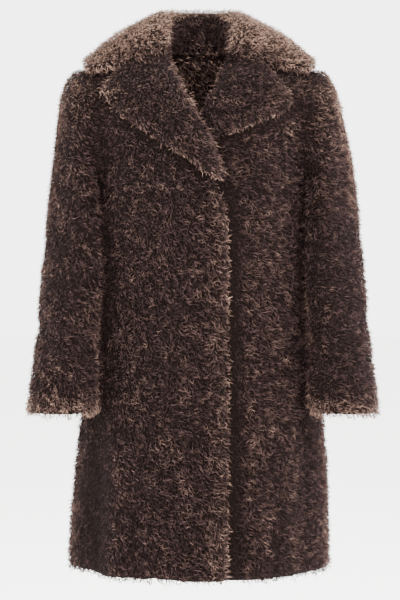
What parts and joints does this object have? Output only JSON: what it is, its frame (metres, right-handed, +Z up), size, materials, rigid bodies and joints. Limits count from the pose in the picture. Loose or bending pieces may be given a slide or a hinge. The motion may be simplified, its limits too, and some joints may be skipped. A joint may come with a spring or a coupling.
{
  "type": "faux fur coat",
  "caption": "Knee-length faux fur coat with a wide turned-down collar, notched lapels and long set-in sleeves, hollow as worn.",
  "frame": {"origin": "midway between the two points where the shoulder seams meet the neck, where the wearer's shoulders hold the coat", "axes": "+Z up along the wearer's back, +X towards the wearer's left sleeve, -Y out of the front opening"},
  "size_m": [0.596, 0.3047, 0.9826],
  "materials": {
    "faux_fur": "curly long pile, matt, dark brown with taupe tips",
    "faux_fur_inside": "curly long pile, matt, dark brown"
  },
  "bodies": {
    "root": {"back": "faux_fur", "back_neck_facing": "faux_fur_inside", "collar": "faux_fur", "front_right": "faux_fur", "front_left": "faux_fur", "lapel_right": "faux_fur", "lapel_left": "faux_fur", "sleeve_right": "faux_fur", "sleeve_left": "faux_fur"}
  },
  "joints": []
}
